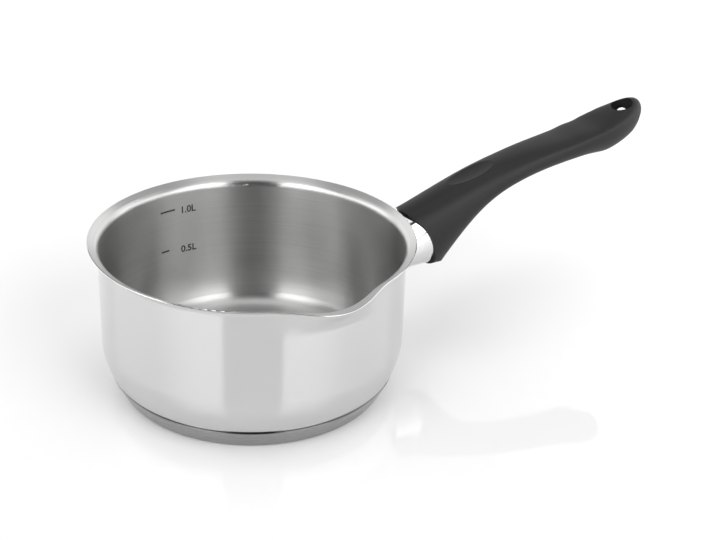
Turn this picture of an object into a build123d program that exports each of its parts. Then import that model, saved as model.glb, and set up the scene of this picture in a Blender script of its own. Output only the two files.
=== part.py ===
from build123d import *
from math import acos, asin, cos, pi, radians, sin, sqrt, tan
import os

# A milk pan, in millimetres. The origin is the centre of the flat underside, on the pan's axis.
# +Z is up, the handle points along +X, and the pouring spout is on the -Y side.

# Pan body: drawn steel sheet
rim_radius = 82.0
body_radius = 77.0
pan_height = 81.0
wall = 0.7
side_start_height = 28.8
side_curve_radius = 37.0
floor_corner_radius = 12.0
flare_radius = 3.5
lip_slope_deg = 28.0
floor_ring_width = 10.3

# Pouring spout, pressed out of the rim
spout_depth = 17.0
spout_half_angle_deg = 28.5
spout_push = 5.2
spout_drop = 0.7
spout_lean_deg = 20.0
spout_lip_turn_deg = 18.0
spout_lip_gain = 0.9
spout_sections = 14

# Encapsulated base: a steel cap over an aluminium disc
cap_wall = 0.6
cap_beyond_floor = 2.7
cap_corner_radius = 3.5
cap_top_height = 10.4
cap_groove_gap = 0.22
disc_gap = 1.0
disc_thickness = 4.9
disc_edge_radius = 1.0

# Handle: one moulding, lofted along a rising line. Its first section is cut away by the root's curved face.
handle_stand_off = 16.5
handle_drop = 26.1
handle_length = 158.9
handle_rise = 47.7
handle_half_width = 14.5
handle_half_depth = 21.0
handle_slopes_deg = (31.7, 31.7, 31.3, 29.6, 25.9, 21.1, 17.2, 13.9, 11.6, 10.9, 11.9, 13.9, 16.2)

# Each row is one of the evenly spaced sections: the height of its widest line, how far it reaches up,
# down and sideways, and how full its upper corners are. The rounded end begins at the last one.
handle_section_shares = (
    (0.000, 1.050, 1.100, 1.000, 0.66),
    (0.141, 0.930, 0.960, 0.993, 0.66),
    (0.285, 0.769, 0.772, 0.974, 0.66),
    (0.415, 0.640, 0.590, 0.955, 0.66),
    (0.528, 0.536, 0.450, 0.935, 0.66),
    (0.622, 0.451, 0.380, 0.916, 0.66),
    (0.697, 0.384, 0.368, 0.902, 0.67),
    (0.759, 0.336, 0.380, 0.893, 0.70),
    (0.808, 0.302, 0.395, 0.890, 0.73),
    (0.850, 0.272, 0.420, 0.895, 0.76),
    (0.894, 0.240, 0.470, 0.905, 0.80),
    (0.944, 0.214, 0.560, 0.914, 0.84),
    (1.000, 0.195, 0.705, 0.917, 0.88),
)
end_start_share = 0.799
lower_fullness_share = 0.60

# The root's curved face, where the handle meets the flame guard: part of a round bar across the handle
root_face_radius = 38.0
root_face_from_wall = 27.2
root_face_drop = 35.0

# The heel below the root, rounded across the handle
heel_drop = 37.4
heel_half_width = 15.6
heel_length = 24.0

# The rounded end, beyond the last full section
end_turns_deg = (15, 30, 45, 58, 69, 78, 85)
end_slope_deg = 12.9
end_up = 9.0
end_down = 6.0
end_fullness_share = 0.50
nose_start_share = 0.70

# Thumb rest: a shallow oval scoop on top
thumb_from_root = 40.0
thumb_half_length = 18.5
thumb_half_width = 9.5
thumb_depth = 1.3

# Hanging hole, through a web at the top of the handle's end
hole_from_tip = 13.7
hole_radius = 6.4
hole_mouth = 0.6
hole_web = 5.2
hole_recess_gap = 2.1
relief_radius = 3.2
relief_drop = 8.6
relief_turn_deg = 40.0

# Flame guard: a polished oval sleeve from the pan wall to the handle
guard_wall = 0.8
guard_inset = 0.9
guard_root_drop = 24.0
guard_root_up = 17.5
guard_root_down = 12.6
guard_root_half_width = 16.5
guard_waist_from_wall = 11.5
guard_waist_drop = 23.5
guard_waist_slope_deg = 13.0
guard_waist_up = 17.4
guard_waist_down = 13.5
guard_waist_half_width = 14.2
guard_end_down = 21.8

# Handle bracket, welded to the pan wall inside the flame guard
strap = 1.5
web_from_wall = 14.5
web_side_gap = 4.9
web_top_gap = 3.3
foot_side_gap = 6.7
foot_top_gap = 3.6
spigot_gap = 0.3

# Handle screw, and what it clamps
screw_radius = 2.45
screw_rise_deg = 10.0
screw_above_waist = 1.5
screw_tail = 2.2
screw_head_radius = 4.7
screw_head_height = 3.2
screw_dome = 0.8
cross_length = 5.6
cross_width = 1.1
cross_depth = 1.8
head_seat_from_root = 27.5
screw_hole_gap = 0.3
pocket_gap = 0.9
nut_across_flats = 8.0
nut_height = 4.0
thread_gap = 0.05
washer_radius = 5.0
washer_thickness = 1.0
spring_radius = 4.6
spring_thickness = 1.3
spring_gap = 1.2

overrun = 3.0

# Places and sizes that follow from the values above
base_height = cap_wall + disc_thickness
corner_height = base_height + floor_corner_radius
curve_spare = side_curve_radius - floor_corner_radius
corner_turn = asin((side_start_height - corner_height) / curve_spare)
floor_flat_radius = body_radius - side_curve_radius + curve_spare * cos(corner_turn)
floor_ring_start = floor_flat_radius - floor_ring_width
cap_flat_radius = floor_flat_radius + cap_beyond_floor
corner_reach = sqrt(floor_corner_radius**2 - (corner_height - cap_top_height) ** 2)
cap_top_radius = floor_flat_radius + corner_reach + cap_groove_gap + cap_wall
disc_radius = cap_flat_radius - disc_gap
lip_turn = radians(90 - lip_slope_deg)
handle_root_x = body_radius + handle_stand_off
handle_root_z = pan_height - handle_drop
guard_waist_x = body_radius + guard_waist_from_wall
guard_waist_z = pan_height - guard_waist_drop
screw_rise = radians(screw_rise_deg)
screw_line_z = guard_waist_z + screw_above_waist
screw_hole_radius = screw_radius + screw_hole_gap
head_seat_x = handle_root_x + head_seat_from_root
head_lift = washer_thickness + spring_thickness
web_x = body_radius + web_from_wall
web_half_width = guard_waist_half_width - guard_wall - web_side_gap
web_half_height = guard_waist_down - guard_wall - web_top_gap
foot_half_width = guard_root_half_width - guard_wall - foot_side_gap
foot_half_height = guard_root_down - guard_wall - foot_top_gap
screw_grip = (head_seat_x - web_x) / cos(screw_rise) + head_lift
screw_length = screw_grip + strap + nut_height + screw_tail


def side_point(x, z):
    """A point of a side profile in the X-Z plane."""
    return Vector(x, 0, z)


def lip_length():
    """Straight length of the lip beyond its curve, along the middle of the sheet."""
    curve_end = body_radius + flare_radius - (flare_radius + wall / 2) * cos(lip_turn)
    return (rim_radius - wall / 2 - curve_end) / sin(lip_turn)


def flare_start():
    """Height at which the wall begins to curl outwards."""
    tip = pan_height - wall / 2
    return tip - lip_length() * cos(lip_turn) - (flare_radius + wall / 2) * sin(lip_turn)


def body_side(inset, bump):
    """Edges of the sheet at a depth below its outer surface, from the floor up to the lip's edge.

    Where bump is above 0, the top of the wall and its lip are pushed out and down for the spout.
    """
    side_centre = side_point(body_radius - side_curve_radius, side_start_height)
    corner_centre = side_point(floor_flat_radius, corner_height)
    corner = floor_corner_radius - inset
    side = side_curve_radius - inset
    floor_end = corner_centre - side_point(0, corner)
    meeting = side_centre + side_point(side * cos(corner_turn), -side * sin(corner_turn))
    side_end = side_centre + side_point(side, 0)
    foot = side_point(side_end.X, pan_height - spout_depth)

    lean = radians(spout_lean_deg) * bump
    lip_end_turn = lip_turn + radians(spout_lip_turn_deg) * bump
    knee = side_point(body_radius + spout_push * bump, flare_start() - spout_drop * bump)
    centre = knee + flare_radius * side_point(cos(lean), -sin(lean))
    flare = flare_radius + inset
    top = centre + flare * side_point(-cos(lean), sin(lean))
    curl_end = centre + flare * side_point(-cos(lip_end_turn), sin(lip_end_turn))
    length = lip_length() + spout_lip_gain * bump
    end = curl_end + length * side_point(sin(lip_end_turn), cos(lip_end_turn))
    reach = (knee.Z - foot.Z) / 3

    floor = Line(side_point(floor_ring_start, floor_end.Z), floor_end)
    corner_arc = arc_about(corner_centre, floor_end, meeting)
    side_arc = arc_about(side_centre, meeting, side_end)
    upright = Line(side_end, foot)
    rise = Bezier(foot, foot + reach * side_point(0, 1), top - reach * side_point(sin(lean), cos(lean)), top)
    curl = arc_about(centre, top, curl_end)
    lip = Line(curl_end, end)
    return [floor, corner_arc, side_arc, upright, rise, curl, lip]


def arc_about(centre, start, end):
    """The shorter arc about a centre, from a start to an end at the same distance from it."""
    middle = (start + end) / 2 - centre
    return ThreePointArc(start, centre + middle.normalized() * (start - centre).length, end)


def body_section(bump, azimuth):
    """The sheet's section at one azimuth, from the floor to the rounded edge of the lip."""
    outside = body_side(0, bump)
    inside = body_side(wall, bump)
    outer_end = outside[-1] @ 1
    inner_end = inside[-1] @ 1
    tip = (outer_end + inner_end) / 2 + (outside[-1] % 1) * wall / 2
    edge = ThreePointArc(outer_end, tip, inner_end)
    foot = Line(inside[0] @ 0, outside[0] @ 0)
    face = make_face(Curve() + outside + inside + [edge, foot])
    return Rot(0, 0, azimuth) * face


def make_pan_body():
    """The drawn shell: a round bowl, a flared rim and one pouring spout."""
    spout_centre = -90
    half = spout_half_angle_deg
    step = 2 * half / (spout_sections - 1)
    sections = []
    for index in range(spout_sections):
        off_centre = -half + index * step
        share = min(1, abs(off_centre) / (half - step))
        bump = cos(pi / 2 * share) ** 2
        sections.append(body_section(bump, spout_centre + off_centre))
    spout = loft(sections)
    plain = body_section(0, spout_centre + half)
    ring = revolve(plain, Axis.Z, 360 - 2 * half)
    standing = (Align.CENTER, Align.CENTER, Align.MIN)
    floor = Pos(0, 0, base_height) * Cylinder(floor_ring_start + overrun, wall, align=standing)
    return floor + (ring + spout)


def cap_profile(inset):
    """Edges of the base cap at a depth below its outer surface, from the axis to its top edge."""
    corner = cap_corner_radius - inset
    centre = side_point(cap_flat_radius, cap_corner_radius)
    top = side_point(cap_top_radius, cap_top_height)
    away = top - centre
    turn = asin(away.Z / away.length) - acos(cap_corner_radius / away.length)
    end = centre + side_point(corner * cos(turn), corner * sin(turn))
    middle_turn = (turn - pi / 2) / 2
    middle = centre + side_point(corner * cos(middle_turn), corner * sin(middle_turn))
    flat_end = centre - side_point(0, corner)
    top_end = top - side_point(inset * cos(turn), inset * sin(turn))
    flat = Line(side_point(0, flat_end.Z), flat_end)
    arc = ThreePointArc(flat_end, middle, end)
    skirt = Line(end, top_end)
    return [flat, arc, skirt]


def make_base_cap():
    """The steel cap that wraps the disc and ends in the dark line under the body."""
    outer = cap_profile(0)
    inner = cap_profile(cap_wall)
    edge = Line(outer[-1] @ 1, inner[-1] @ 1)
    axis = Line(inner[0] @ 0, outer[0] @ 0)
    face = make_face(Curve() + outer + inner + [edge, axis])
    return revolve(face, Axis.Z, 360)


def make_heat_spreader_disc():
    """The aluminium disc bonded between the body's floor and the cap."""
    standing = (Align.CENTER, Align.CENTER, Align.MIN)
    disc = Pos(0, 0, cap_wall) * Cylinder(disc_radius, disc_thickness, align=standing)
    return fillet(disc.edges(), disc_edge_radius)


def section_plane(x, z, slope_deg):
    """A plane across the handle: its X runs sideways and its Y runs up."""
    slope = radians(slope_deg)
    return Plane(origin=(x, 0, z), x_dir=(0, 1, 0), z_dir=(cos(slope), 0, sin(slope)))


def quarter(start, end, fullness):
    """A curved quarter between a point on one axis and a point on the other."""
    return Bezier(start, start + end * fullness, end + start * fullness, end)


def oval(plane, up, down, half_width, upper_fullness=lower_fullness_share):
    """An oval face in four quarters, which reaches its own distance above and below its widest line."""
    right = Vector(half_width, 0)
    top = Vector(0, up)
    bottom = Vector(0, -down)
    upper = [quarter(right, top, upper_fullness), quarter(top, -right, upper_fullness)]
    lower = [quarter(-right, bottom, lower_fullness_share), quarter(bottom, right, lower_fullness_share)]
    return plane * make_face(Curve() + upper + lower)


def handle_rows():
    """The handle's full sections as (x, z, slope, up, down, half width, upper fullness)."""
    rows = []
    last = len(handle_section_shares) - 1
    for index, shares in enumerate(handle_section_shares):
        height, up, down, width, fullness = shares
        x = handle_root_x + index / last * end_start_share * handle_length
        z = handle_root_z + height * handle_rise
        reaches = (up * handle_half_depth, down * handle_half_depth, width * handle_half_width)
        rows.append((x, z, handle_slopes_deg[index], *reaches, fullness))
    return rows


def end_rows():
    """The shrinking sections of the rounded end, beyond the last full one."""
    x_start, z_start, slope_start, up_start, down_start, width_start, fullness_start = handle_rows()[-1]
    length = handle_root_x + handle_length - x_start
    rows = []
    for turn_deg in end_turns_deg:
        share = sin(radians(turn_deg))
        round_off = cos(radians(turn_deg))
        nose_share = max(0, share - nose_start_share) / (1 - nose_start_share)
        nose = sqrt(1 - nose_share**2)
        x = x_start + share * length
        z = z_start + share * length * tan(radians(end_slope_deg))
        up = (up_start + share * (end_up - up_start)) * nose
        down = (end_down + round_off * (down_start - end_down)) * nose
        fullness = fullness_start + share * (end_fullness_share - fullness_start)
        rows.append((x, z, slope_start * (1 - share), up, down, width_start * round_off, fullness))
    return rows


def row_oval(row):
    """The oval of one row."""
    x, z, slope, up, down, half_width, fullness = row
    return oval(section_plane(x, z, slope), up, down, half_width, fullness)


def handle_blank():
    """The handle's outer shape, before its hole, scoop and screw passage are cut."""
    return loft([row_oval(row) for row in handle_rows() + end_rows()])


def top_plane(blank, x):
    """A plane on the handle's top at a place along it, with its X sideways."""
    upright = Axis((x, 0, 0), (0, 0, 1))
    point, normal = blank.find_intersection_points(upright)[-1]
    return Plane(origin=point, x_dir=(0, 1, 0), z_dir=(normal.X, 0, normal.Z))


def thumb_scoop(blank):
    """A long shallow oval bowl in the handle's top: the underside of a large ring."""
    long_radius = (thumb_half_length**2 + thumb_depth**2) / (2 * thumb_depth)
    side_radius = (thumb_half_width**2 + thumb_depth**2) / (2 * thumb_depth)
    ring = Rot(0, 90, 0) * Torus(long_radius - side_radius, side_radius)
    seat = top_plane(blank, handle_root_x + thumb_from_root)
    return seat * Pos(0, 0, long_radius - thumb_depth) * ring


def hanging_hole(blank):
    """The round hole near the handle's end: an eased mouth, and a recess below a thin web.

    The recess is open through its far wall, where light shows through the hole.
    """
    hole_x = handle_root_x + handle_length - hole_from_tip
    mouth_plane = top_plane(blank, hole_x)
    depth = 2 * handle_half_depth
    hanging = (Align.CENTER, Align.CENTER, Align.MAX)
    standing = (Align.CENTER, Align.CENTER, Align.MIN)
    through = Pos(0, 0, overrun) * Cylinder(hole_radius, hole_web + 2 * overrun, align=hanging)
    mouth = Cone(hole_radius, hole_radius + 2 * hole_mouth, 2 * hole_mouth)
    below_web = mouth_plane * Pos(0, 0, -hole_web) * Box(depth, depth, depth, align=hanging)
    recess = Pos(mouth_plane.origin) * Cylinder(hole_radius + hole_recess_gap, 2 * depth)
    side = Rot(0, 0, relief_turn_deg) * Rot(0, 90, 0) * Cylinder(relief_radius, depth, align=standing)
    relief = Pos(mouth_plane.origin) * Pos(0, 0, -relief_drop) * side
    return mouth_plane * (through + mouth) + (recess & below_web) + relief


def screw_plane(x):
    """A plane square to the screw at a place along its line, with its normal towards the head."""
    z = screw_line_z + (x - guard_waist_x) * tan(screw_rise)
    return section_plane(x, z, screw_rise_deg)


def rod(x, start, length, radius):
    """A round bar on the screw's line, from a distance beyond the place x and on by a length."""
    standing = (Align.CENTER, Align.CENTER, Align.MIN)
    return screw_plane(x) * Pos(0, 0, start) * Cylinder(radius, length, align=standing)


def root_face_bar():
    """The round bar across the handle whose surface is the handle's root face."""
    bar = Rot(90, 0, 0) * Cylinder(root_face_radius, 2 * handle_length)
    return Pos(body_radius + root_face_from_wall - root_face_radius, 0, pan_height - root_face_drop) * bar


def guard_blank(inset):
    """The flame guard's shape, drawn in by an inset, longer at both ends than the guard itself."""
    x, z, slope, up, down, half_width, fullness = handle_rows()[1]
    drawn_in = guard_inset + inset
    end_plane = section_plane(x, z, slope)
    end = oval(end_plane, up - drawn_in, guard_end_down - inset, half_width - drawn_in, fullness)
    waist_plane = section_plane(guard_waist_x, guard_waist_z, guard_waist_slope_deg)
    waist = oval(waist_plane, guard_waist_up - inset, guard_waist_down - inset, guard_waist_half_width - inset)
    root_plane = section_plane(body_radius - 2 * overrun, pan_height - guard_root_drop, 0)
    root = oval(root_plane, guard_root_up - inset, guard_root_down - inset, guard_root_half_width - inset)
    return loft([root, waist, end])


def heel_trim():
    """What is cut away below the root, so that the heel runs level on from the guard and is rounded across."""
    centre_z = pan_height - guard_waist_drop
    down = centre_z - (pan_height - heel_drop)
    start = Plane(origin=(handle_root_x, 0, centre_z), x_dir=(0, 1, 0), z_dir=(1, 0, 0))
    trough = extrude(oval(start, down, down, heel_half_width), heel_length)
    below = (Align.MIN, Align.CENTER, Align.MAX)
    block = Box(heel_length, 4 * handle_half_width, 2 * handle_half_depth, align=below)
    return Pos(handle_root_x, 0, centre_z) * block - trough


def make_handle():
    """The moulded handle with its thumb rest, hanging hole, spigot and screw passage."""
    blank = handle_blank()
    size = 4 * handle_half_depth
    hanging = (Align.CENTER, Align.CENTER, Align.MAX)
    behind_web = screw_plane(web_x) * Box(size, size, size, align=hanging)
    spigot = (guard_blank(guard_wall + spigot_gap) & root_face_bar()) - behind_web
    passage = rod(web_x, -overrun, screw_length, screw_hole_radius)
    pocket = rod(head_seat_x, 0, 2 * handle_half_depth, washer_radius + pocket_gap)
    handle = (blank - heel_trim() - root_face_bar()) + spigot
    return handle - thumb_scoop(blank) - hanging_hole(blank) - passage - pocket


def pan_cylinder(thickness=0):
    """The pan's straight outside, as a cutter for what is welded against it."""
    return Cylinder(body_radius + thickness, 2 * pan_height)


def make_flame_guard():
    """The polished sleeve between the pan wall and the handle."""
    sleeve = guard_blank(0) & root_face_bar()
    return sleeve - guard_blank(guard_wall) - pan_cylinder()


def make_handle_bracket():
    """A folded steel strap: a curved foot on the pan wall, two cheeks and a web with the screw's hole."""
    hanging = (Align.CENTER, Align.CENTER, Align.MAX)
    web_plane = screw_plane(web_x)
    web = Box(2 * web_half_width, 2 * web_half_height, strap, align=hanging)
    cheek = Box(strap, 2 * web_half_height, web_x - body_radius + overrun, align=hanging)
    side = web_half_width - strap / 2
    folded = web_plane * (web + Pos(side, 0, 0) * cheek + Pos(-side, 0, 0) * cheek)
    outwards = (Align.MIN, Align.CENTER, Align.CENTER)
    window = Box(2 * body_radius, 2 * foot_half_width, 2 * foot_half_height, align=outwards)
    foot = pan_cylinder(strap) & (Pos(0, 0, screw_plane(body_radius).origin.Z) * window)
    screw_hole = rod(web_x, -strap - overrun, strap + 2 * overrun, screw_hole_radius)
    return folded + foot - pan_cylinder() - screw_hole


def make_captive_nut():
    """The hexagon nut behind the web."""
    profile = RegularPolygon(nut_across_flats / 2, 6, major_radius=False)
    nut = extrude(profile, nut_height) - Cylinder(screw_radius + thread_gap, 2 * nut_height + overrun)
    return screw_plane(web_x) * Pos(0, 0, -strap - nut_height) * nut


def make_handle_screw():
    """The long cross-head screw that clamps the handle to the bracket."""
    shank = rod(head_seat_x, head_lift - screw_length, screw_length, screw_radius)
    head = Cylinder(screw_head_radius, screw_head_height, align=(Align.CENTER, Align.CENTER, Align.MIN))
    head = fillet(head.edges().sort_by(Axis.Z)[-1], screw_dome)
    bar = Box(cross_length, cross_width, 2 * cross_depth)
    cross = Pos(0, 0, screw_head_height) * (bar + Rot(0, 0, 90) * bar)
    return shank + screw_plane(head_seat_x) * Pos(0, 0, head_lift) * (head - cross)


def make_plain_washer():
    """The flat washer on the pocket's seat."""
    ring = rod(head_seat_x, 0, washer_thickness, washer_radius)
    return ring - rod(head_seat_x, -overrun, washer_thickness + 2 * overrun, screw_hole_radius)


def make_spring_washer():
    """The split washer under the screw's head."""
    ring = rod(head_seat_x, washer_thickness, spring_thickness, spring_radius)
    ring = ring - rod(head_seat_x, -overrun, head_lift + 2 * overrun, screw_hole_radius)
    split = Box(spring_radius + overrun, spring_gap, 2 * head_lift, align=(Align.MIN, Align.CENTER, Align.CENTER))
    return ring - screw_plane(head_seat_x) * Pos(0, 0, washer_thickness) * split


def write(name, solid):
    """Write one sub-part to its own file."""
    solid.label = name
    export_step(solid, os.path.join("parts", name + ".step"))


os.makedirs("parts", exist_ok=True)
write("pan_body", make_pan_body())
write("heat_spreader_disc", make_heat_spreader_disc())
write("base_cap", make_base_cap())
write("flame_guard", make_flame_guard())
write("handle_bracket", make_handle_bracket())
write("captive_nut", make_captive_nut())
write("handle", make_handle())
write("handle_screw", make_handle_screw())
write("spring_washer", make_spring_washer())
write("plain_washer", make_plain_washer())
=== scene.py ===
from math import atan2, cos, pi, radians, sin

import bpy
from mathutils import Matrix, Vector


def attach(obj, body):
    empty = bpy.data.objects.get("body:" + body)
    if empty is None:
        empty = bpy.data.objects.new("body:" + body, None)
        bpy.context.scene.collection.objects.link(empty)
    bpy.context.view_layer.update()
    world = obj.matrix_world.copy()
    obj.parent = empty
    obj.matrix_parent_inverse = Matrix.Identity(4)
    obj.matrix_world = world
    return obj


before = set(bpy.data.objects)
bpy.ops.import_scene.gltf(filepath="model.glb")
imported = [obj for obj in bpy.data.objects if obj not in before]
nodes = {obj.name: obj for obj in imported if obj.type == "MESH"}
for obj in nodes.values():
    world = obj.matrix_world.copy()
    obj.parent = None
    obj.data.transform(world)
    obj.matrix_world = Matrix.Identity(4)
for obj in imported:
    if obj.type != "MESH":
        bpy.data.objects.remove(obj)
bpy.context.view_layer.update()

MM = 0.001
scene = bpy.context.scene

# The painted shade of the narrow groove between the body and its base: a dark band on the outside of the
# body
GROOVE_SHADE_BOTTOM = 10.2 * MM
GROOVE_SHADE_TOP = 11.4 * MM
GROOVE_SHADE_SOFT = 0.2 * MM
GROOVE_SHADE_TONE = (0.06, 0.06, 0.06)

# The body's steel: polished outside, brushed inside. The lip is where the two blend.
OUTSIDE_TONE = (0.595, 0.595, 0.595)
OUTSIDE_ROUGH = (0.13, 0.17)
INSIDE_DARK = (0.515, 0.515, 0.512)
INSIDE_LIGHT = (0.56, 0.56, 0.557)
LIP_BLEND = 0.2

# Brushing: scratches to the metre, the quarter turn that lays highlights across them, and the
# radius that keeps points on the axis itself from a division by nothing
SCRATCH_DENSITY = 1400.0
ACROSS_SCRATCHES = 0.25
SMALLEST_RADIUS = 0.01 * MM

# How dark the scratches and the mottled spots are, as a share of the steel's own tone
SCRATCH_SHADE = 0.92
MOTTLE_SHADE = 0.9

# The black phenolic and the ink, each with its darker and its lighter tone
PHENOLIC_TONES = ((0.008, 0.008, 0.008), (0.011, 0.011, 0.011))
INK_TONES = ((0.02, 0.02, 0.02), (0.045, 0.045, 0.045))
INK_ROUGH = (0.5, 0.7)

# The values that most of a noise lies between, and a narrower choice for the ink's speckle
NOISE_RANGE = (0.3, 0.7)
SPECKLE_RANGE = (0.35, 0.65)

# The graduation marks on the far inner wall. Their X runs to the right as seen from inside.
MARK_START_Y = 70.0 * MM
FIGURES_X = 0.0
FIGURES_SIZE = 5.4 * MM
FIGURES_DROP = 1.3 * MM
FIGURES_BOLD = 0.12 * MM
LINE_LEFT_X = -17.0 * MM
LINE_HEIGHT = 0.9 * MM
LINE_CUTS = 12
MARK_WELD = 0.005 * MM
MARK_LIFT = 0.04 * MM
MARK_THICKNESS = 0.04 * MM
UPPER_MARK = 67.0 * MM
UPPER_LINE = 9.2 * MM
LOWER_MARK = 43.6 * MM
LOWER_LINE = 5.0 * MM
UPRIGHT = (pi / 2, 0, 0)

# The studio's floor, just under the pan
FLOOR_SIZE = 12.0
FLOOR_DROP = 0.05 * MM
FLOOR_TONE = (0.90, 0.90, 0.90)
FLOOR_ROUGH = 0.04
FLOOR_IOR = 1.4

# The photo's camera, fitted to the pan's ellipses
CAMERA_AZIMUTH = radians(-28)
CAMERA_ELEVATION = radians(27.687)
CAMERA_DISTANCE = 0.69949
CAMERA_FOCUS_PX = 1359.88
CAMERA_SENSOR_MM = 36
CAMERA_NEAR = 0.01
CAMERA_FAR = 50
PHOTO_WIDTH_PX = 716
TARGET = Vector((0, 0, 41 * MM))
TARGET_RIGHT_PX = -104.71
TARGET_DOWN_PX = 36.23

# The soft panels of the studio, mirrored left and right of the camera. Each has its light, then
# its near edge, that edge's softness, its far edge and that edge's softness, all in degrees:
# first sideways from the camera, then up from the floor.
ROOM_LIGHT = 0.01
PANELS = (
    (3.4, (22, 4, 62, 34), (2, 4, 52, 10)),         # two beside the camera, the main light
    (2.25, (62, 34, 125, 20), (-5, 4, 34, 8)),      # two low ones at the sides
    (1.3, (-10, 2, 200, 2), (66, 10, 120, 2)),      # the ceiling
    (0.9, (125, 20, 200, 2), (-5, 4, 38, 8)),       # the back wall
    (0.8, (95, 20, 150, 20), (38, 8, 66, 10)),      # two high ones behind the sides
    (0.6, (132, 12, 166, 12), (2, 4, 38, 8)),       # two narrow ones before the back wall
)


# Node helpers

# A colour mix node's sockets: the share and the two colours, and the result
MIX_INPUTS = (0, 6, 7)
MIX_OUTPUT = 2


class Nodes:
    """A node tree and short ways to add to it."""

    def __init__(self, tree):
        self.tree = tree

    def node(self, kind, **settings):
        made = self.tree.nodes.new(kind)
        for name, value in settings.items():
            setattr(made, name, value)
        return made

    def plug(self, socket, value):
        """Link a socket to a node's result, or give it a plain value."""
        if isinstance(value, bpy.types.NodeSocket):
            self.tree.links.new(value, socket)
        else:
            socket.default_value = value

    def fill(self, made, values):
        """Plug values into a node's sockets, from the first on."""
        for socket, value in zip(made.inputs, values):
            self.plug(socket, value)

    def math(self, operation, *values):
        made = self.node("ShaderNodeMath", operation=operation)
        self.fill(made, values)
        return made.outputs[0]

    def less(self, value):
        """What is left of 1."""
        return self.math("SUBTRACT", 1.0, value)

    def weigh(self, x, x_share, y, y_share):
        """The sum of two values, each times its share."""
        return self.math("ADD", self.math("MULTIPLY", x, x_share), self.math("MULTIPLY", y, y_share))

    def vector(self, x, y, z):
        made = self.node("ShaderNodeCombineXYZ")
        self.fill(made, (x, y, z))
        return made.outputs[0]

    def split(self, value):
        made = self.node("ShaderNodeSeparateXYZ")
        self.fill(made, (value,))
        return made.outputs

    def noise(self, place, scale, detail=2.0, roughness=0.5):
        made = self.node("ShaderNodeTexNoise")
        self.plug(made.inputs["Vector"], place)
        made.inputs["Scale"].default_value = scale
        made.inputs["Detail"].default_value = detail
        made.inputs["Roughness"].default_value = roughness
        return made.outputs["Fac"]

    def spread(self, value, from_range, to_range):
        """Stretch a value from one range to another, held at the ends."""
        made = self.node("ShaderNodeMapRange")
        self.fill(made, (value, *from_range, *to_range))
        return made.outputs["Result"]

    def sway(self, middle, fine, fine_reach, broad, broad_reach):
        """A value that sways round its middle with a fine and a broad noise."""
        near = self.spread(fine, NOISE_RANGE, (middle - fine_reach, middle + fine_reach))
        return self.math("ADD", near, self.spread(broad, NOISE_RANGE, (-broad_reach, broad_reach)))

    def blend(self, share, first, second):
        """A mix of two colours."""
        made = self.node("ShaderNodeMix", data_type="RGBA")
        for place, value in zip(MIX_INPUTS, (share, first, second)):
            self.plug(made.inputs[place], value)
        return made.outputs[MIX_OUTPUT]

    def tones(self, noise, dark, light, noise_range=NOISE_RANGE):
        """A colour that goes from dark to light with a noise."""
        return self.blend(self.spread(noise, noise_range, (0.0, 1.0)), (*dark, 1), (*light, 1))

    def step(self, value, edge, soft):
        """0 below an edge and 1 above it, eased over a soft width."""
        made = self.node("ShaderNodeMapRange", interpolation_type="SMOOTHSTEP")
        self.fill(made, (value, edge - soft / 2, edge + soft / 2, 0.0, 1.0))
        return made.outputs["Result"]


class Finish(Nodes):
    """One finish: a principled surface and the nodes that drive it."""

    def __init__(self, name):
        self.material = bpy.data.materials.new(name)
        self.material.use_nodes = True
        super().__init__(self.material.node_tree)
        self.surface = self.tree.nodes["Principled BSDF"]
        self.place = self.node("ShaderNodeTexCoord").outputs["Object"]

    def look(self, name, value):
        """Set or drive one property of the surface."""
        self.plug(self.surface.inputs[name], value)

    def bump(self, height, distance, strength):
        made = self.node("ShaderNodeBump")
        self.plug(made.inputs["Height"], height)
        made.inputs["Distance"].default_value = distance
        made.inputs["Strength"].default_value = strength
        self.look("Normal", made.outputs["Normal"])

    def round_the_axis(self):
        """Values that follow the pan's round form: unit outward x and y, radius and height."""
        x, y, z = self.split(self.place)
        radius = self.math("MAXIMUM", self.math("SQRT", self.weigh(x, x, y, y)), SMALLEST_RADIUS)
        return self.math("DIVIDE", x, radius), self.math("DIVIDE", y, radius), radius, z

    def scratches(self):
        """Fine scratches that run round the axis, as a value from 0 to 1."""
        ux, uy, radius, z = self.round_the_axis()
        across = self.math("MULTIPLY", self.math("ADD", radius, z), SCRATCH_DENSITY)
        return self.noise(self.vector(ux, uy, across), scale=1.0, detail=1.5, roughness=0.6)

    def brush(self, stretch):
        """Make it a metal whose highlights stretch across the scratches round the axis."""
        ux, uy, radius, z = self.round_the_axis()
        self.look("Metallic", 1.0)
        self.look("Anisotropic", stretch)
        self.look("Anisotropic Rotation", ACROSS_SCRATCHES)
        self.look("Tangent", self.vector(self.math("MULTIPLY", uy, -1.0), ux, 0.0))


# Finishes

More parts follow.
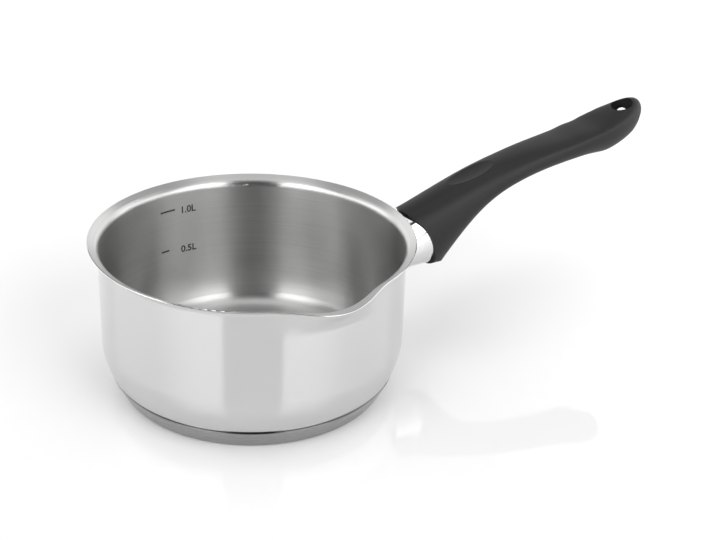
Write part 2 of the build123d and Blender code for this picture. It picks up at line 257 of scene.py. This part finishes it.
def pan_steel():
    """Polished outside with a painted shade band above the base, where the groove falls dark, brushed
    round the axis inside.
    """
    finish = Finish("pan_steel")
    ux, uy, radius, z = finish.round_the_axis()
    nx, ny, nz = finish.split(finish.node("ShaderNodeNewGeometry").outputs["Normal"])
    inward = finish.math("SUBTRACT", nz, finish.weigh(nx, ux, ny, uy))
    inside = finish.spread(inward, (-LIP_BLEND, LIP_BLEND), (0.0, 1.0))
    scratches = finish.scratches()
    broad = finish.noise(finish.place, scale=18.0)
    # Painted shade: a dark band just above the base, standing for the shade in the groove between body and
    # base
    above_groove_shade = finish.step(z, GROOVE_SHADE_TOP, GROOVE_SHADE_SOFT)
    groove_shade = finish.math("MULTIPLY", finish.step(z, GROOVE_SHADE_BOTTOM, GROOVE_SHADE_SOFT), finish.less(above_groove_shade))
    outside_colour = finish.blend(groove_shade, (*OUTSIDE_TONE, 1), (*GROOVE_SHADE_TONE, 1))
    inside_colour = finish.tones(scratches, INSIDE_DARK, INSIDE_LIGHT)
    finish.look("Base Color", finish.blend(inside, outside_colour, inside_colour))
    rough_inside = finish.sway(
        middle=0.31, fine=scratches, fine_reach=0.01, broad=broad, broad_reach=0.02)
    rough_outside = finish.spread(broad, NOISE_RANGE, OUTSIDE_ROUGH)
    finish.look("Roughness", finish.weigh(inside, rough_inside, finish.less(inside), rough_outside))
    finish.brush(stretch=0.85)
    finish.bump(finish.math("MULTIPLY", scratches, inside), distance=0.004 * MM, strength=0.1)
    return finish.material


def turned_steel(name, tone, rough, stretch):
    """Steel with fine turning lines round the pan's axis."""
    finish = Finish(name)
    scratches = finish.scratches()
    broad = finish.noise(finish.place, scale=25.0)
    finish.look("Base Color", finish.tones(scratches, [SCRATCH_SHADE * c for c in tone], tone))
    finish.look("Roughness", finish.sway(
        middle=rough, fine=scratches, fine_reach=0.04, broad=broad, broad_reach=0.02))
    finish.brush(stretch)
    finish.bump(scratches, distance=0.02 * MM, strength=0.4)
    return finish.material


def plain_steel(name, tone, rough):
    """Pressed or plated steel with a faint mottled surface."""
    finish = Finish(name)
    mottle = finish.noise(finish.place, scale=900.0, detail=3.0, roughness=0.6)
    broad = finish.noise(finish.place, scale=60.0)
    finish.look("Base Color", finish.tones(mottle, [MOTTLE_SHADE * c for c in tone], tone))
    finish.look("Roughness", finish.sway(
        middle=rough, fine=mottle, fine_reach=0.03, broad=broad, broad_reach=0.02))
    finish.look("Metallic", 1.0)
    finish.bump(mottle, distance=0.01 * MM, strength=0.4)
    return finish.material


def handle_phenolic():
    """Black phenolic with the fine grain of a spark-eroded mould."""
    finish = Finish("handle_phenolic")
    grain = finish.noise(finish.place, scale=2600.0, detail=2.0, roughness=0.6)
    broad = finish.noise(finish.place, scale=40.0, detail=3.0, roughness=0.55)
    finish.look("Base Color", finish.tones(broad, *PHENOLIC_TONES))
    finish.look("Roughness", finish.sway(
        middle=0.51, fine=grain, fine_reach=0.05, broad=broad, broad_reach=0.03))
    finish.look("Specular IOR Level", 0.34)
    finish.bump(grain, distance=0.08 * MM, strength=0.5)
    return finish.material


def mark_ink():
    """The dark etched graduation marks."""
    finish = Finish("mark_ink")
    speckle = finish.noise(finish.place, scale=3000.0)
    finish.look("Base Color", finish.tones(speckle, *INK_TONES, SPECKLE_RANGE))
    finish.look("Roughness", finish.spread(speckle, NOISE_RANGE, INK_ROUGH))
    finish.bump(speckle, distance=0.01 * MM, strength=0.3)
    return finish.material


def floor_white():
    """Plain white, glossy enough to mirror the pan faintly."""
    finish = Finish("floor_white")
    finish.look("Base Color", (*FLOOR_TONE, 1))
    finish.look("Roughness", FLOOR_ROUGH)
    finish.look("IOR", FLOOR_IOR)
    return finish.material


finishes = {
    "pan_body": pan_steel(),
    # The base cap's steel is toned much darker than the body's: painted shade for the shadowed floor it
    # mirrors
    "base_cap": turned_steel("base_steel", tone=(0.35, 0.35, 0.35), rough=0.30, stretch=0.6),
    "heat_spreader_disc": turned_steel("base_aluminium", tone=(0.78, 0.78, 0.79), rough=0.42, stretch=0.4),
    "flame_guard": plain_steel("guard_steel", tone=(0.74, 0.74, 0.74), rough=0.09),
    "handle_bracket": plain_steel("bracket_steel", tone=(0.60, 0.60, 0.60), rough=0.36),
    "captive_nut": plain_steel("fastener_steel", tone=(0.66, 0.66, 0.67), rough=0.30),
    "handle": handle_phenolic(),
}
for name in ("handle_screw", "spring_washer", "plain_washer"):
    finishes[name] = finishes["captive_nut"]
for name, node in nodes.items():
    for slot in node.material_slots:
        slot.material = finishes[name]


# Shapes

def nothing_selected():
    bpy.ops.object.select_all(action="DESELECT")


def settle(piece):
    """Write a piece's place and turn into its mesh."""
    piece.data.transform(piece.matrix_world)
    piece.matrix_world = Matrix.Identity(4)


def edit_mesh(operation, **settings):
    """Run one mesh operation on the whole of the active piece."""
    bpy.ops.object.mode_set(mode="EDIT")
    bpy.ops.mesh.select_all(action="SELECT")
    operation(**settings)
    bpy.ops.object.mode_set(mode="OBJECT")


def apply_modifier(piece, kind, **settings):
    """Add a modifier with its settings and apply it."""
    made = piece.modifiers.new("shape", kind)
    for name, value in settings.items():
        setattr(made, name, value)
    bpy.context.view_layer.objects.active = piece
    bpy.ops.object.modifier_apply(modifier=made.name)


def add_floor():
    """The white floor the pan stands on."""
    nothing_selected()
    bpy.ops.mesh.primitive_plane_add(size=FLOOR_SIZE, location=(0, 0, -FLOOR_DROP))
    floor = bpy.context.object
    floor.name = "studio_floor"
    settle(floor)
    floor.data.materials.append(floor_white())


def mark_figures(words, height):
    """The figures of one mark, upright before the wall."""
    place = (FIGURES_X, MARK_START_Y, height - FIGURES_DROP)
    bpy.ops.object.text_add(location=place, rotation=UPRIGHT)
    figures = bpy.context.object
    figures.data.body = words
    figures.data.size = FIGURES_SIZE
    figures.data.offset = FIGURES_BOLD
    figures.data.align_x = "CENTER"
    figures.data.align_y = "CENTER"
    bpy.ops.object.convert(target="MESH")
    return bpy.context.object


def mark_line(length, height):
    """The short level line of one mark, cut finely enough to bend with the wall."""
    place = (LINE_LEFT_X + length / 2, MARK_START_Y, height)
    bpy.ops.mesh.primitive_plane_add(size=1, location=place, rotation=UPRIGHT)
    line = bpy.context.object
    line.scale = (length, LINE_HEIGHT, 1)
    edit_mesh(bpy.ops.mesh.subdivide, number_cuts=LINE_CUTS)
    bpy.context.view_layer.update()
    return line


def graduation_mark(name, words, height, line_length, ink):
    """Figures with a short level line beside them, laid on the inner wall."""
    nothing_selected()
    figures = mark_figures(words, height)
    nothing_selected()
    line = mark_line(line_length, height)
    nothing_selected()
    for piece in (figures, line):
        settle(piece)
        piece.select_set(True)
    bpy.context.view_layer.objects.active = figures
    bpy.ops.object.join()
    mark = bpy.context.object
    mark.name = name
    mark.data.name = name
    edit_mesh(bpy.ops.mesh.remove_doubles, threshold=MARK_WELD)
    apply_modifier(mark, "SHRINKWRAP", target=nodes["pan_body"], wrap_method="PROJECT", use_project_y=True,
                   use_positive_direction=True, use_negative_direction=False)
    mark.data.transform(Matrix.Translation((0, -MARK_LIFT, 0)))
    apply_modifier(mark, "SOLIDIFY", thickness=MARK_THICKNESS, offset=0)
    mark.data.materials.clear()
    mark.data.materials.append(ink)
    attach(mark, "root")


add_floor()
ink = mark_ink()
graduation_mark("mark_one_litre", "1.0L", UPPER_MARK, UPPER_LINE, ink)
graduation_mark("mark_half_litre", "0.5L", LOWER_MARK, LOWER_LINE, ink)


# Camera

def add_camera():
    """The camera of the photo: the pan's axis stands left of the middle."""
    side = Vector((cos(CAMERA_AZIMUTH), sin(CAMERA_AZIMUTH), 0))
    level = Vector((sin(CAMERA_AZIMUTH), -cos(CAMERA_AZIMUTH), 0))
    back = level * cos(CAMERA_ELEVATION) + Vector((0, 0, sin(CAMERA_ELEVATION)))
    up = -level * sin(CAMERA_ELEVATION) + Vector((0, 0, cos(CAMERA_ELEVATION)))
    turn = atan2(TARGET_RIGHT_PX, CAMERA_FOCUS_PX)
    tip = atan2(TARGET_DOWN_PX, CAMERA_FOCUS_PX)
    right = side * cos(turn) - back * sin(turn)
    ahead = -side * sin(turn) - back * cos(turn)
    top = up * cos(tip) - ahead * sin(tip)
    ahead = up * sin(tip) + ahead * cos(tip)
    camera_data = bpy.data.cameras.new("camera")
    camera_data.sensor_width = CAMERA_SENSOR_MM
    camera_data.lens = CAMERA_FOCUS_PX / PHOTO_WIDTH_PX * CAMERA_SENSOR_MM
    camera_data.clip_start = CAMERA_NEAR
    camera_data.clip_end = CAMERA_FAR
    camera = bpy.data.objects.new("camera", camera_data)
    scene.collection.objects.link(camera)
    turned = Matrix((right, top, -ahead)).transposed().to_4x4()
    camera.matrix_world = Matrix.Translation(TARGET + back * CAMERA_DISTANCE) @ turned
    scene.camera = camera


add_camera()


# Light

def studio_world():
    """A dim room whose soft panels light the pan, each placed by its direction from the pan."""
    world = scene.world or bpy.data.worlds.new("studio")
    scene.world = world
    world.use_nodes = True
    sky = Nodes(world.node_tree)
    for old in list(sky.tree.nodes):
        sky.tree.nodes.remove(old)
    x, y, z = sky.split(sky.node("ShaderNodeTexCoord").outputs["Generated"])
    ahead = sky.weigh(x, sin(CAMERA_AZIMUTH), y, -cos(CAMERA_AZIMUTH))
    aside = sky.weigh(x, cos(CAMERA_AZIMUTH), y, sin(CAMERA_AZIMUTH))
    azimuth = sky.math("ABSOLUTE", sky.math("ARCTAN2", aside, ahead))
    elevation = sky.math("ARCSINE", z)
    total = ROOM_LIGHT
    for light, sides, heights in PANELS:
        panel = light
        for value, (edge, soft, far_edge, far_soft) in ((azimuth, sides), (elevation, heights)):
            panel = sky.math("MULTIPLY", panel, sky.step(value, radians(edge), radians(soft)))
            beyond = sky.step(value, radians(far_edge), radians(far_soft))
            panel = sky.math("MULTIPLY", panel, sky.less(beyond))
        total = sky.math("ADD", total, panel)
    room = sky.node("ShaderNodeBackground")
    sky.plug(room.inputs["Strength"], total)
    room.inputs["Color"].default_value = (1, 1, 1, 1)
    sky.plug(sky.node("ShaderNodeOutputWorld").inputs["Surface"], room.outputs[0])


studio_world()
scene.view_settings.view_transform = "Standard"
